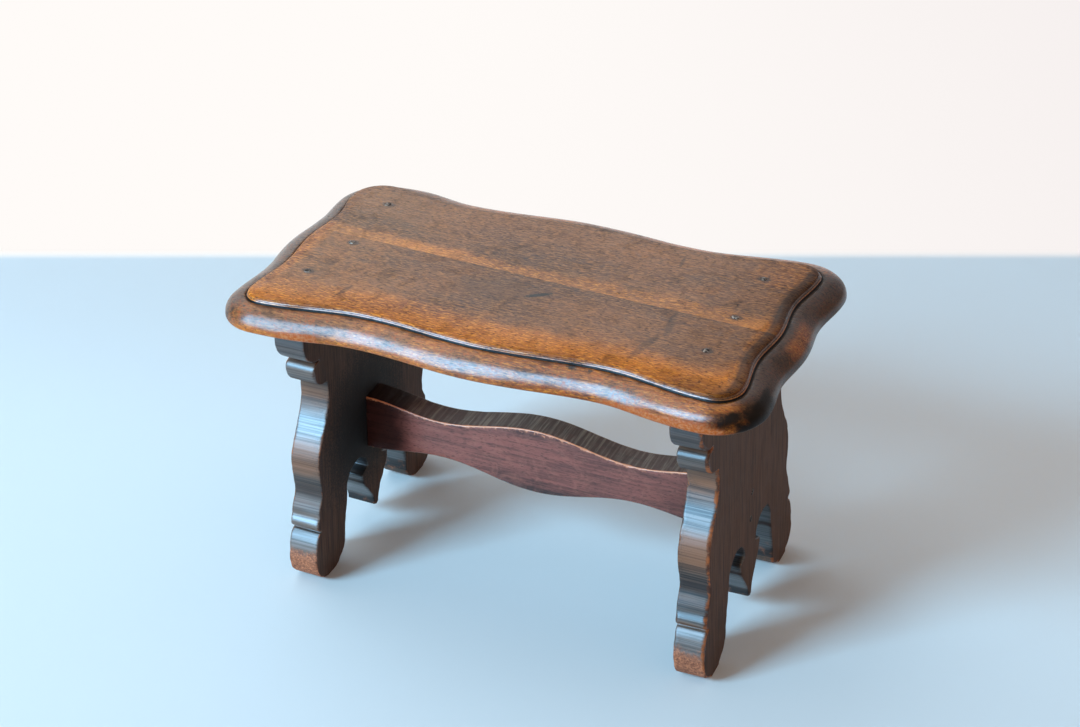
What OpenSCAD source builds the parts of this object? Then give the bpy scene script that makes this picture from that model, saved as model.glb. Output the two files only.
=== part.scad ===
// Small trestle footstool: a moulded serpentine top made of two boards,
// nailed to two scroll-cut trestles that a shaped stretcher joins.
// Millimetres. +X runs along the top, -Y is the front, +Z is up.
// The origin is on the floor, under the middle of the whole stool.

/* [Top] */
// Length over the moulding, ear to ear
top_length = 327; // [300:1:380]
// Width over the moulding, ear to ear
top_width = 186; // [170:1:220]
// Thickness of the top boards
top_thickness = 16.8; // [14:0.2:24]
// Height of the whole stool
stool_height = 200; // [180:1:240]
// How far the trestles stand behind the top's middle
trestle_setback = 5; // [0:0.5:6]
// Depth of the hollows in the long edges, below the ears
side_hollow = 8; // [2:0.2:12]
// Rise of the long edges' middle above their hollows
side_crown = 5.4; // [1:0.2:10]
// Depth of the hollows in the short edges, below the ears
end_hollow = 3.8; // [1:0.2:8]
// Rise of the short edges' middle above their hollows
end_crown = 2.8; // [0.5:0.1:6]
// Radius of the ears at the quirk
ear_radius = 15; // [10:0.5:20]
// Angle between the glue joint and the long axis
joint_skew = 3; // [0:0.5:4]
// Distance of the glue joint in front of the top's middle
joint_forward = -2.5; // [-6:0.5:6]

/* [Moulding] */
// Width of the moulding outside the quirk
moulding_width = 15.4; // [12:0.2:20]
// Width of the rounding round the raised field
field_round_width = 3.6; // [2:0.2:8]
// Fall of that rounding
field_round_drop = 1.4; // [0.6:0.1:2.5]
// Height of the step from the rounding down to the quirk
quirk_drop = 2.2; // [1:0.1:4]
// Set-back of the bottom arris from the moulding's widest line
undercut = 5; // [2:0.2:6]

/* [Trestles] */
// Thickness of each trestle board
trestle_thickness = 19; // [15:0.5:24]
// Distance of each trestle's centre from the end of the top
overhang = 43.5; // [36:0.5:55]
// Width over the feet
foot_width = 155.6; // [140:1:170]
// Outward lean of each trestle
trestle_lean = 1.5; // [0:0.25:3]

/* [Stretcher] */
// Thickness of the stretcher
stretcher_thickness = 18; // [12:0.5:24]
// Height of the stretcher's crown above the floor
stretcher_top = 100; // [90:1:110]
// Height of the stretcher's belly above the floor
stretcher_bottom = 56; // [50:1:62]
// Depth of the two hollows in its top edge
stretcher_top_hollow = 9; // [4:0.5:14]
// Depth of the two hollows in its bottom edge
stretcher_bottom_hollow = 9.5; // [4:0.5:14]
// Rise of the top edge from its hollows to its ends
stretcher_top_flare = 6; // [0:0.5:10]
// Fall of the bottom edge from its hollows to its ends
stretcher_bottom_flare = 5; // [0:0.5:10]

/* [Nails] */
// Diameter of the nail heads
nail_head_diameter = 4; // [3:0.2:6]
// Diameter of the nail shanks
nail_shank_diameter = 2; // [1.4:0.1:2.6]
// Length of the nails
nail_length = 50; // [40:1:60]
// Distance of the outer nails in the top from the middle one
nail_pitch = 45.5; // [35:0.5:50]
// Height between the two nails at each end of the stretcher
stretcher_nail_pitch = 17; // [12:0.5:22]

/* [Hidden] */
$fn = 48;

// Overrun of cuts, and the clearance round a nail in its hole
overrun = 4;
nail_clearance = 0.04;

// Distance between the trestles' centres under the top
trestle_spacing = top_length - 2*overhang;

// Heights
under_top = stool_height - top_thickness;
quirk_z = stool_height - field_round_drop - quirk_drop;

// Quirk line: half sizes at the ears, the hollows and the middle
ear_y = top_width/2 - moulding_width;
hollow_y = ear_y - side_hollow;
crown_y = hollow_y + side_crown;
ear_x = top_length/2 - moulding_width;
hollow_x = ear_x - end_hollow;
crown_x = hollow_x + end_crown;

// Where the ears begin along each edge, and the hollows between
long_run = ear_x - ear_radius;
short_run = ear_y - ear_radius;
long_hollow_share = 0.54;
short_hollow_share = 0.49;

// Steps along each edge, round each ear and over the moulding
long_steps = 40;
short_steps = 10;
ear_steps = 8;
round_steps = 4;
torus_steps = 8;

// The moulding's section: where its torus is highest and widest
torus_crown_share = 0.08;
torus_wide_share = 0.235;
torus_rise = 0.3;

// Eased value between two values, level at both ends
function ease(a, b, t) = a + (b - a)*(1 - cos(180*t))/2;

// Half size of a serpentine edge at distance s from its middle
function wave(s, crown, hollow, ear, hollow_s, ear_s) =
    s < hollow_s ? ease(crown, hollow, s/hollow_s)
                 : ease(hollow, ear, (s - hollow_s)/(ear_s - hollow_s));

function long_edge(x) = wave(abs(x), crown_y, hollow_y, ear_y,
    long_run*long_hollow_share, long_run);
function short_edge(y) = wave(abs(y), crown_x, hollow_x, ear_x,
    short_run*short_hollow_share, short_run);

// Where the glue joint crosses the end at side = 1 or -1
function joint_y(x) = -joint_forward - x*tan(joint_skew);
function joint_end(side) = joint_y(side*crown_x);

// Half of the quirk line, from the joint on the right round the front
// (way = -1) or the back (way = 1) to the joint on the left
function quirk_line(way) = concat(
    [for (i = [0:short_steps - 1])
        let (y = joint_end(1) + (way*short_run - joint_end(1))*i/short_steps)
        [short_edge(y), y]],
    [for (i = [0:ear_steps - 1])
        let (a = 90*i/ear_steps)
        [long_run + ear_radius*cos(a), way*(short_run + ear_radius*sin(a))]],
    [for (i = [0:long_steps])
        let (x = long_run*(1 - 2*i/long_steps))
        [x, way*long_edge(x)]],
    [for (i = [1:ear_steps])
        let (a = 90*i/ear_steps)
        [-long_run - ear_radius*sin(a), way*(short_run + ear_radius*cos(a))]],
    [for (i = [1:short_steps])
        let (y = way*short_run + (joint_end(-1) - way*short_run)*i/short_steps)
        [-short_edge(y), y]]);

// Section of the moulding, from the field's arris to the bottom arris:
// distance out from the quirk line and height
torus_x = moulding_width*torus_crown_share;
torus_z = under_top + (quirk_z - under_top)*torus_wide_share;
torus_top = quirk_z + torus_rise;
arris_x = moulding_width - undercut;
section = concat(
    [for (i = [0:round_steps])
        let (a = 90*i/round_steps)
        [field_round_width*(sin(a) - 1),
         stool_height - field_round_drop*(1 - cos(a))]],
    [for (i = [0:torus_steps])
        let (a = 90*i/torus_steps)
        i == 0 ? [0, quirk_z]
               : [torus_x + (moulding_width - torus_x)*sin(a),
                  torus_z + (torus_top - torus_z)*cos(a)]],
    [for (i = [1:torus_steps])
        let (a = 90*i/torus_steps)
        [moulding_width - undercut*(1 - cos(a)),
         torus_z - (torus_z - under_top)*sin(a)]]);

function unit(v) = v/norm(v);

// Outward direction at point i of a line; the ends follow the joint
function outward(line, i, way) =
    let (last = len(line) - 1)
    i == 0 ? [cos(joint_skew), -sin(joint_skew)] :
    i == last ? [-cos(joint_skew), sin(joint_skew)] :
    let (d = unit(line[i + 1] - line[i - 1]))
    way*[d[1], -d[0]];

// One board with its share of the moulding, closed along the joint
module moulded_board(way) {
    line = quirk_line(way);
    out = [for (i = [0:len(line) - 1]) outward(line, i, way)];
    n = len(line);
    rings = len(section);
    points = [for (s = section) for (i = [0:n - 1])
        [line[i][0] + out[i][0]*s[0], line[i][1] + out[i][1]*s[0], s[1]]];
    sides = [for (j = [0:rings - 2]) for (i = [0:n - 2])
        [j*n + i, j*n + i + 1, (j + 1)*n + i + 1, (j + 1)*n + i]];
    top_face = [for (i = [n - 1:-1:0]) i];
    under_face = [for (i = [0:n - 1]) (rings - 1)*n + i];
    joint_face = concat([for (j = [0:rings - 1]) j*n],
        [for (j = [rings - 1:-1:0]) j*n + n - 1]);
    faces = concat(sides, [top_face, under_face, joint_face]);
    polyhedron(points, way > 0 ? faces : [for (f = faces) [for (k = [len(f) - 1:-1:0]) f[k]]],
        convexity = 6);
}

// Nails: height of the head, length of the point, and how low the pairs in
// the stretcher stand
nail_head_height = 1;
nail_point = 4;
nail_middle_drop = 2.25;

// The nails in the top as driven, left row and right row, front to back:
// places along the pitch, and outward from the trestle's middle as shares
// of half its thickness
left_pitch_shares = [-0.97, -0.08, 1.04];
left_outward_shares = [0.58, -0.22, 0.08];
right_pitch_shares = [-0.895, -0.02, 1];
right_outward_shares = [-0.34, -0.08, -0.08];

// The nails in the stretcher, lower and upper: places back from the
// trestle's middle as shares of half the stretcher's thickness
left_back_shares = [0.1, -0.15];
right_back_shares = [0, 0.29];

// A nail pointing down, its head level with z = 0
module nail(clearance = 0) {
    translate([0, 0, -nail_head_height])
        cylinder(h = nail_head_height + (clearance > 0 ? overrun : 0),
            d = nail_head_diameter + 2*clearance);
    translate([0, 0, nail_point - nail_length])
        cylinder(h = nail_length - nail_point, d = nail_shank_diameter + 2*clearance);
    translate([0, 0, -nail_length - clearance])
        cylinder(h = nail_point + clearance, d1 = clearance > 0 ? nail_shank_diameter : 0,
            d2 = nail_shank_diameter + 2*clearance);
}

// The three nails that hold the top to one trestle
module top_nail_row(side, clearance = 0) {
    pitch_shares = side < 0 ? left_pitch_shares : right_pitch_shares;
    outward_shares = side < 0 ? left_outward_shares : right_outward_shares;
    for (i = [0:len(pitch_shares) - 1])
        translate([side*(trestle_spacing + outward_shares[i]*trestle_thickness)/2,
            trestle_setback + pitch_shares[i]*nail_pitch, stool_height])
            nail(clearance);
}

// Frame of one trestle: its middle plane meets the top's underside at
// z = 0, x points outward and z runs up the leaning board
module in_trestle(side)
    mirror([side < 0 ? 1 : 0, 0, 0])
        translate([trestle_spacing/2, trestle_setback, under_top])
            rotate([0, -trestle_lean, 0]) children();

// Height above the floor, as a place along the leaning board
function along(z) = (z - under_top)/cos(trestle_lean);

// The two nails through one trestle into the end of the stretcher
nail_middle = (stretcher_top + stretcher_bottom)/2 - nail_middle_drop;
module stretcher_nail_pair(side, clearance = 0) {
    back_shares = side < 0 ? left_back_shares : right_back_shares;
    in_trestle(side)
        for (i = [0, 1])
            translate([trestle_thickness/2, back_shares[i]*stretcher_thickness/2,
                along(nail_middle + (i - 0.5)*stretcher_nail_pitch)])
                rotate([0, 90, 0]) nail(clearance);
}

// Landmarks of the trestle's edge, from the toe up and from the leg in to
// the pendant: shares of half the foot's width and of the height under the top
toe_shares = [1, 0.0874];
shoulder_shares = [0.906, 0.196];
bead_foot_shares = [0.906, 0.204];
bead_front_shares = [0.951, 0.227];
bead_head_shares = [0.922, 0.2615];
waist_shares = [0.861, 0.333];
belly_shares = [0.893, 0.443];
throat_shares = [0.688, 0.674];
neck_shares = [0.695, 0.733];
drop_front_shares = [0.893, 0.812];
drop_head_shares = [0.8, 0.836];
notch_shares = [0.8, 0.8395];
block_front_shares = [1.025, 0.936];
leg_inner_shares = [0.531, 0.0874];
arch_spring_shares = [0.468, 0.2513];
arch_crown_shares = [0.296, 0.3219];
pendant_neck_shares = [0.122, 0.2543];
pendant_cusp_shares = [0.218, 0.2374];
pendant_tip_shares = [0.032, 0.0705];
sole_inner_share = 0.733;
sole_outer_share = 0.81;
block_inner_share = 0.97;

half_foot = foot_width/2;
function mark(shares) = [shares[0]*half_foot, shares[1]*under_top];
toe = mark(toe_shares);
shoulder = mark(shoulder_shares);
bead_foot = mark(bead_foot_shares);
bead_front = mark(bead_front_shares);
bead_head = mark(bead_head_shares);
waist = mark(waist_shares);
belly = mark(belly_shares);
throat = mark(throat_shares);
neck = mark(neck_shares);
drop_front = mark(drop_front_shares);
drop_head = mark(drop_head_shares);
notch = mark(notch_shares);
block_front = mark(block_front_shares);
leg_inner = mark(leg_inner_shares);
arch_spring = mark(arch_spring_shares);
arch_crown = mark(arch_crown_shares);
pendant_neck = mark(pendant_neck_shares);
pendant_cusp = mark(pendant_cusp_shares);
pendant_tip = mark(pendant_tip_shares);

// Steps along the trestle's edge, and the angles where its arcs begin
edge_steps = 8;
few_steps = 4;
many_steps = 12;
toe_angle = 10;
drop_angle = 12;
block_angle = -75;
arch_angle = 175;
heel_angle = 190;

// Elliptical arc about a centre, from angle a0 to a1
function arc(centre, radii, a0, a1, n = edge_steps) =
    [for (i = [0:n]) let (a = a0 + (a1 - a0)*i/n)
        centre + [radii[0]*cos(a), radii[1]*sin(a)]];

// Ogee between two marks, upright at both; the first is left out
function ogee(p, q, n = edge_steps) =
    [for (i = [1:n]) [ease(p[0], q[0], i/n), p[1] + (q[1] - p[1])*i/n]];

sole_inner = sole_inner_share*half_foot;
sole_outer = sole_outer_share*half_foot;
block_radii = [block_front[0] - notch[0]*block_inner_share, block_front[1] - notch[1]];

outer_edge = concat(
    arc([sole_outer, toe[1]], [toe[0] - sole_outer, toe[1]], -90, 0),
    arc([shoulder[0], toe[1]], [toe[0] - shoulder[0], shoulder[1] - toe[1]], toe_angle, 90),
    arc([bead_foot[0], bead_front[1]],
        [bead_front[0] - bead_foot[0], bead_front[1] - bead_foot[1]], -90, 0),
    ogee(bead_front, bead_head, few_steps),
    ogee(bead_head, waist),
    ogee(waist, belly),
    ogee(belly, throat, many_steps),
    ogee(throat, neck, few_steps),
    arc([neck[0], drop_front[1]],
        [drop_front[0] - neck[0], drop_front[1] - neck[1]], -90, 0),
    arc([drop_head[0], drop_front[1]],
        [drop_front[0] - drop_head[0], drop_head[1] - drop_front[1]], drop_angle, 90),
    [notch],
    arc([block_front[0] - block_radii[0], block_front[1]], block_radii, block_angle, 0),
    [[block_front[0], under_top + overrun]]);

inner_edge = concat(
    [[0, pendant_tip[1] - pendant_tip[0]/2], pendant_tip],
    ogee(pendant_tip, pendant_cusp),
    [pendant_neck],
    arc([(arch_spring[0] + pendant_neck[0])/2, arch_spring[1]],
        [(arch_spring[0] - pendant_neck[0])/2, arch_crown[1] - arch_spring[1]],
        arch_angle, 0, many_steps),
    ogee(arch_spring, leg_inner),
    arc([sole_inner, toe[1]], [sole_inner - leg_inner[0], toe[1]], heel_angle, 270));

// Far enough below the floor for the slanting board to fill its sole
sole_depth = trestle_thickness/2*tan(trestle_lean);
half_outline = concat(inner_edge,
    [[sole_inner, -sole_depth], [sole_outer, -sole_depth]], outer_edge);
trestle_outline = concat(
    [for (p = half_outline) [p[0], along(p[1])]],
    [for (i = [len(half_outline) - 1:-1:1])
        [-half_outline[i][0], along(half_outline[i][1])]]);

module trestle(side)
    difference() {
        intersection() {
            in_trestle(side)
                rotate([90, 0, 90])
                    linear_extrude(trestle_thickness, center = true)
                        polygon(trestle_outline);
            translate([-top_length, -top_width, 0])
                cube([2*top_length, 2*top_width, under_top]);
        }
        top_nail_row(side, nail_clearance);
        stretcher_nail_pair(side, nail_clearance);
    }

// Half the stretcher's length at its nails, and its hollows' places
stretcher_half = trestle_spacing/2 - trestle_thickness/2
    + (under_top - nail_middle)*tan(trestle_lean);
stretcher_hollow_share = 0.56;
stretcher_steps = 32;

function stretcher_edge(x, crown, hollow, flare) =
    wave(min(abs(x), stretcher_half), crown, hollow, flare,
        stretcher_half*stretcher_hollow_share, stretcher_half);

stretcher_end = stretcher_half + overrun;
stretcher_outline = concat(
    [for (i = [0:stretcher_steps]) let (x = stretcher_end*(2*i/stretcher_steps - 1))
        [x, stretcher_edge(x, stretcher_bottom, stretcher_bottom + stretcher_bottom_hollow,
            stretcher_bottom + stretcher_bottom_hollow - stretcher_bottom_flare)]],
    [for (i = [stretcher_steps:-1:0]) let (x = stretcher_end*(2*i/stretcher_steps - 1))
        [x, stretcher_edge(x, stretcher_top, stretcher_top - stretcher_top_hollow,
            stretcher_top - stretcher_top_hollow + stretcher_top_flare)]]);

module stretcher_blank()
    translate([0, trestle_setback, 0]) rotate([90, 0, 0])
        linear_extrude(stretcher_thickness, center = true)
            polygon(stretcher_outline);

module board(way)
    difference() {
        moulded_board(way);
        for (side = [-1, 1]) top_nail_row(side, nail_clearance);
    }

module top_board_front() color("#6f4424") board(-1);
module top_board_back() color("#6b4023") board(1);
module trestle_left() color("#3d2a20") trestle(-1);
module trestle_right() color("#4a352a") trestle(1);

module stretcher()
    color("#5a2f20")
        difference() {
            stretcher_blank();
            for (side = [-1, 1]) {
                in_trestle(side)
                    translate([-trestle_thickness/2, -top_width, -stool_height])
                        cube([trestle_spacing, 2*top_width, stool_height]);
                stretcher_nail_pair(side, nail_clearance);
            }
        }

module top_nails_left() color("#2b2622") top_nail_row(-1);
module top_nails_right() color("#2b2622") top_nail_row(1);
module stretcher_nails_left() color("#2b2622") stretcher_nail_pair(-1);
module stretcher_nails_right() color("#2b2622") stretcher_nail_pair(1);

top_board_front();
top_board_back();
trestle_left();
trestle_right();
stretcher();
top_nails_left();
top_nails_right();
stretcher_nails_left();
stretcher_nails_right();
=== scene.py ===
# Small trestle footstool: its looks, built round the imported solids, in metres
import math
import random

import bpy
import bmesh
from mathutils import Matrix, Vector, noise


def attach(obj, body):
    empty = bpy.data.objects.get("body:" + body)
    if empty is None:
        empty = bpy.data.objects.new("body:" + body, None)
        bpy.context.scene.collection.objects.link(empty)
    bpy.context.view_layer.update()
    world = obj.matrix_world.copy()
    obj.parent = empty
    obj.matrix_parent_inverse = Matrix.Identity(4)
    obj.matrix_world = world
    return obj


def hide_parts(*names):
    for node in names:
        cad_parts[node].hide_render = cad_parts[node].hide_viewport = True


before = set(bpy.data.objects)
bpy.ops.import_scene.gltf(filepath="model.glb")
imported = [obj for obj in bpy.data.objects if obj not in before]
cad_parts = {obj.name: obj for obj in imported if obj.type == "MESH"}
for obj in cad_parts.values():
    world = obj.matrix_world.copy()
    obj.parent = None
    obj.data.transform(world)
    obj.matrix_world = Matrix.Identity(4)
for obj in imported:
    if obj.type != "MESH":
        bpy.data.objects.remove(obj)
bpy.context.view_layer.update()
print("solids loaded:", ", ".join(sorted(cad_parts)))


# Camera where the stool is seen from above its front right corner
cameraView = {
    "place": (0.46277, -1.01274, 0.82168),
    "azimuth": 24.45,
    "elevation": 31.3,
    "roll": -1.04,
    "lens": 74.72,
    "sensorWidth": 36.0,
    "clip": (0.05, 30),
}


# Direction from the stool, in degrees: 0 is the front, and 90 its right
def towards(azimuth, elevation):
    a, e = math.radians(azimuth), math.radians(elevation)
    return Vector((math.sin(a) * math.cos(e), -math.cos(a) * math.cos(e), math.sin(e)))


def addCamera(view):
    a, r = math.radians(view["azimuth"]), math.radians(view["roll"])
    back = towards(view["azimuth"], view["elevation"])
    level = Vector((math.cos(a), math.sin(a), 0))
    upright = back.cross(level)
    right = level * math.cos(r) + upright * math.sin(r)
    up = upright * math.cos(r) - level * math.sin(r)
    data = bpy.data.cameras.new("stoolCamera")
    data.lens = view["lens"]
    data.sensor_width = view["sensorWidth"]
    data.clip_start, data.clip_end = view["clip"]
    camera = bpy.data.objects.new("stoolCamera", data)
    bpy.context.scene.collection.objects.link(camera)
    turn = Matrix((right, up, back)).transposed().to_4x4()
    camera.matrix_world = Matrix.Translation(view["place"]) @ turn
    bpy.context.scene.camera = camera


addCamera(cameraView)


# Node helpers
def addNode(tree, kind, values=None, **settings):
    made = tree.nodes.new(kind)
    for name, value in settings.items():
        setattr(made, name, value)
    for socket, value in (values or {}).items():
        feed(tree, made.inputs[socket], value)
    return made


def feed(tree, socket, value):
    if isinstance(value, bpy.types.NodeSocket):
        tree.links.new(value, socket)
    else:
        socket.default_value = value


def mathNode(tree, operation, a, b=0.0, c=0.0, clamp=False):
    made = addNode(tree, "ShaderNodeMath", {0: a, 1: b, 2: c}, operation=operation)
    made.use_clamp = clamp
    return made.outputs[0]


def times(tree, a, b, clamp=False):
    return mathNode(tree, "MULTIPLY", a, b, clamp=clamp)


def plus(tree, a, b):
    return mathNode(tree, "ADD", a, b)


def minus(tree, a, b, clamp=False):
    return mathNode(tree, "SUBTRACT", a, b, clamp=clamp)


def ramp(tree, value, slope, start):
    return mathNode(tree, "MULTIPLY_ADD", value, slope, start)


def vectorNode(tree, operation, a, b=(0.0, 0.0, 0.0)):
    made = addNode(tree, "ShaderNodeVectorMath", {0: a, 1: b}, operation=operation)
    return made.outputs["Value" if operation == "LENGTH" else "Vector"]


def stepUp(tree, value, low, high):
    made = addNode(tree, "ShaderNodeMapRange", {0: value, 1: low, 2: high}, interpolation_type="SMOOTHSTEP")
    return made.outputs[0]


def mixColour(tree, share, a, b):
    made = addNode(tree, "ShaderNodeMix", data_type="RGBA", clamp_factor=True)
    for socket, value in ((0, share), (6, a), (7, b)):
        feed(tree, made.inputs[socket], (*value, 1) if isinstance(value, tuple) else value)
    return made.outputs[2]


def layered(tree, colour, *layers):  # each layer is a share and the colour that it lays on
    for share, tone in layers:
        colour = mixColour(tree, share, colour, tone)
    return colour


def mixValue(tree, share, a, b):
    return addNode(tree, "ShaderNodeMix", {0: share, 2: a, 3: b}, data_type="FLOAT").outputs[0]


def noiseNode(tree, place, scale, detail=2.0, rough=0.5, warp=0.0):
    made = addNode(tree, "ShaderNodeTexNoise",
                   {"Vector": place, "Scale": scale, "Detail": detail,
                    "Roughness": rough, "Distortion": warp})
    return made.outputs["Fac"]


def attributeNode(tree, name):
    return addNode(tree, "ShaderNodeAttribute", attribute_name=name).outputs["Fac"]


def paint(text):
    parts = [int(text[i:i + 2], 16) / 255 for i in (0, 2, 4)]
    return tuple(p / 12.92 if p < 0.04045 else ((p + 0.055) / 1.055) ** 2.4 for p in parts)


def paintsOf(finish):
    return {label: paint(value) for label, value in finish.items() if isinstance(value, str)}


def newGroup(name, inputs, outputs):
    group = bpy.data.node_groups.new(name, "ShaderNodeTree")
    for label, start in inputs:
        kind = "NodeSocketVector" if isinstance(start, tuple) else "NodeSocketFloat"
        socket = group.interface.new_socket(label, in_out="INPUT", socket_type=kind)
        socket.default_value = start
    for label in outputs:
        group.interface.new_socket(label, in_out="OUTPUT", socket_type="NodeSocketFloat")
    return group, group.nodes.new("NodeGroupInput").outputs, group.nodes.new("NodeGroupOutput").inputs


def placeGroup(tree, group, values):
    made = tree.nodes.new("ShaderNodeGroup")
    made.node_tree = group
    for label, value in values.items():
        feed(tree, made.inputs[label], value)
    return made.outputs


# Fibres, flecks and pores of the wood; X of Place runs along the grain
def makeGrainGroup():
    group, given, out = newGroup(
        "woodGrain",
        [("Place", (0, 0, 0)), ("Fibre Length", 0.03), ("Fibre Width", 0.0012),
         ("Fleck Length", 0.004), ("Fleck Width", 0.0007)],
        ["Tone", "Fibre", "Fleck", "Pore", "Height"])

    def stretched(length, width):
        across = mathNode(group, "DIVIDE", 1.0, width)
        along = mathNode(group, "DIVIDE", 1.0, length)
        scale = addNode(group, "ShaderNodeCombineXYZ", {0: along, 1: across, 2: across}).outputs[0]
        return vectorNode(group, "MULTIPLY", given["Place"], scale)

    slow = vectorNode(group, "MULTIPLY", given["Place"], (9, 26, 26))
    fibre = noiseNode(group, stretched(given["Fibre Length"], given["Fibre Width"]), 1.0, 3.0, 0.6, 0.3)
    fleckPlace = stretched(given["Fleck Length"], given["Fleck Width"])
    fleck = noiseNode(group, fleckPlace, 1.0, 2.0, 0.6, 0.2)
    shifted = vectorNode(group, "ADD", fleckPlace, (37.0, 11.0, 5.0))
    pore = stepUp(group, noiseNode(group, shifted, 1.6, 1.0, 0.5, 0.1), 0.56, 0.68)
    for label, value in (("Tone", noiseNode(group, slow, 1.0, 3.0, 0.55, 0.4)), ("Fibre", fibre),
                         ("Fleck", stepUp(group, fleck, 0.46, 0.66)), ("Pore", pore),
                         ("Height", ramp(group, fibre, 0.5, times(group, pore, -0.7)))):
        group.links.new(value, out[label])
    return group


# Adds a ragged swing to a value, so that a mask's rim isn't smooth
def swung(tree, value, rag, raggedness):
    return plus(tree, value, times(tree, times(tree, minus(tree, rag, 0.5), raggedness), 2.0))


# Ragged edge wear from an amount that the mesh carries
def makeWearGroup():
    group, given, out = newGroup(
        "edgeWear",
        [("Amount", 0.0), ("Place", (0, 0, 0)), ("Patch Size", 0.004),
         ("Raggedness", 0.8), ("Softness", 0.15)],
        ["Mask"])
    scale = mathNode(group, "DIVIDE", 1.0, given["Patch Size"])
    patch = noiseNode(group, given["Place"], scale, 4.0, 0.65, 0.5)
    amount = swung(group, given["Amount"], patch, given["Raggedness"])
    low, high = minus(group, 0.5, given["Softness"]), plus(group, 0.5, given["Softness"])
    group.links.new(stepUp(group, amount, low, high), out["Mask"])
    return group


# One dark or pale mark at a place, with a ragged rim
def makeMarkGroup():
    group, given, out = newGroup(
        "woodMark",
        [("Place", (0, 0, 0)), ("Centre", (0, 0, 0)), ("Reach", (0.003, 0.003, 0.003)),
         ("Turn", 0.0), ("Raggedness", 0.5)],
        ["Mask"])
    offset = vectorNode(group, "SUBTRACT", given["Place"], given["Centre"])
    turned = addNode(group, "ShaderNodeVectorRotate", {"Vector": offset, "Angle": given["Turn"]},
                     rotation_type="Z_AXIS").outputs[0]
    far = vectorNode(group, "LENGTH", vectorNode(group, "DIVIDE", turned, given["Reach"]))
    total = swung(group, far, noiseNode(group, given["Place"], 900.0, 3.0, 0.6), given["Raggedness"])
    group.links.new(minus(group, 1.0, stepUp(group, total, 0.55, 1.05)), out["Mask"])
    return group


# Dents, rubs and grime of long use
def makeUseGroup():
    group, given, out = newGroup(
        "longUse",
        [("Place", (0, 0, 0)), ("Dent Size", 0.006), ("Grime Size", 0.03)],
        ["Dent", "Grime", "Rub", "Dirt"])
    place = given["Place"]
    dentScale = mathNode(group, "DIVIDE", 1.0, given["Dent Size"])
    cells = addNode(group, "ShaderNodeTexVoronoi", {"Vector": place, "Scale": dentScale})
    dent = minus(group, 1.0, stepUp(group, cells.outputs["Distance"], 0.05, 0.32))
    pick = stepUp(group, noiseNode(group, place, 60.0, 1.0), 0.52, 0.62)
    grimeScale = mathNode(group, "DIVIDE", 1.0, given["Grime Size"])
    shifted = vectorNode(group, "ADD", place, (3.1, 1.7, 0.4))
    for label, value in (("Dent", times(group, dent, pick)),
                         ("Grime", noiseNode(group, place, grimeScale, 5.0, 0.62, 0.6)),
                         ("Rub", noiseNode(group, shifted, times(group, grimeScale, 3.0), 4.0, 0.7, 0.8)),
                         ("Dirt", noiseNode(group, place, 700.0, 3.0, 0.65))):
        group.links.new(value, out[label])
    return group


woodGrain = makeGrainGroup()
edgeWear = makeWearGroup()
woodMark = makeMarkGroup()
longUse = makeUseGroup()


def newMaterial(name):
    material = bpy.data.materials.new(name)
    material.use_nodes = True
    tree = material.node_tree
    tree.nodes.clear()
    shader = tree.nodes.new("ShaderNodeBsdfPrincipled")
    output = tree.nodes.new("ShaderNodeOutputMaterial")
    tree.links.new(shader.outputs[0], output.inputs[0])
    place = tree.nodes.new("ShaderNodeTexCoord").outputs["Object"]
    return material, tree, shader, place


# Sizes in metres: length and width of fibres and flecks, then of dents and grime
def woodParts(tree, place, along, sizes):
    labels = ("Fibre Length", "Fibre Width", "Fleck Length", "Fleck Width")
    grain = placeGroup(tree, woodGrain, {"Place": along, **dict(zip(labels, sizes))})
    use = placeGroup(tree, longUse, {"Place": place, "Dent Size": sizes[4], "Grime Size": sizes[5]})
    return grain, use


def wornMask(tree, place, carriedName, patch, raggedness, softness):
    return placeGroup(tree, edgeWear, {
        "Amount": attributeNode(tree, carriedName), "Place": place, "Patch Size": patch,
        "Raggedness": raggedness, "Softness": softness})["Mask"]


def markMask(tree, place, centre, reach, turn, raggedness):
    return placeGroup(tree, woodMark, {"Place": place, "Centre": centre, "Reach": reach,
                                       "Turn": math.radians(-turn), "Raggedness": raggedness})["Mask"]


def setShader(tree, shader, finish, height, linked):
    for label, value in linked.items():
        tree.links.new(value, shader.inputs[label])
    for key, label in (("coatIor", "Coat IOR"), ("polish", "Coat Roughness"),
                       ("specular", "Specular IOR Level"), ("metallic", "Metallic")):
        if key in finish:
            shader.inputs[label].default_value = finish[key]
    bump = addNode(tree, "ShaderNodeBump", {"Height": height, "Strength": finish["bump"], "Distance": 1.0})
    tree.links.new(bump.outputs[0], shader.inputs["Normal"])


# Top: brown field, warm orange where feet and dusters have worn it, with painted shade on the torus ends and
# the front right corner
topFinish = {
    "brownLow": "4a2511", "brownHigh": "7a4522", "orangeLow": "7c3a10", "orangeHigh": "cc7020",
    "fleckBrown": "b8743a", "fleckOrange": "ff9e36", "poreBrown": "180a05", "poreOrange": "34170a",
    "rubbed": "b48854", "groove": "120b07", "torusDark": "1a0d06", "worn": "c87e56", "mottle": "b8561e",
    "grainSizes": (0.03, 0.0009, 0.0046, 0.001, 0.008, 0.03),
    # strength of each layer, then size, raggedness and softness of the worn patches and of the dark ones
    "fibres": 0.42, "flecks": 0.65, "pores": 0.8, "paleness": 0.3, "mottling": 0.7, "grime": 0.45,
    "scuffs": 0.78, "wear": (0.006, 0.55, 0.16), "darkMask": (0.006, 0.5, 0.42), "markRag": 0.5,
    "nailStain": (0.0048, 0.0036, 0.003), "nailStainShift": 0.0008, "nailRag": 0.6, "nailDirt": 0.72,
    "roughness": 0.3, "polish": 0.27, "coatIor": 1.7, "specular": 0.12,
    "grainDepth": 0.00003, "dentDepth": 0.00022, "bump": 0.7,
}
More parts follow.
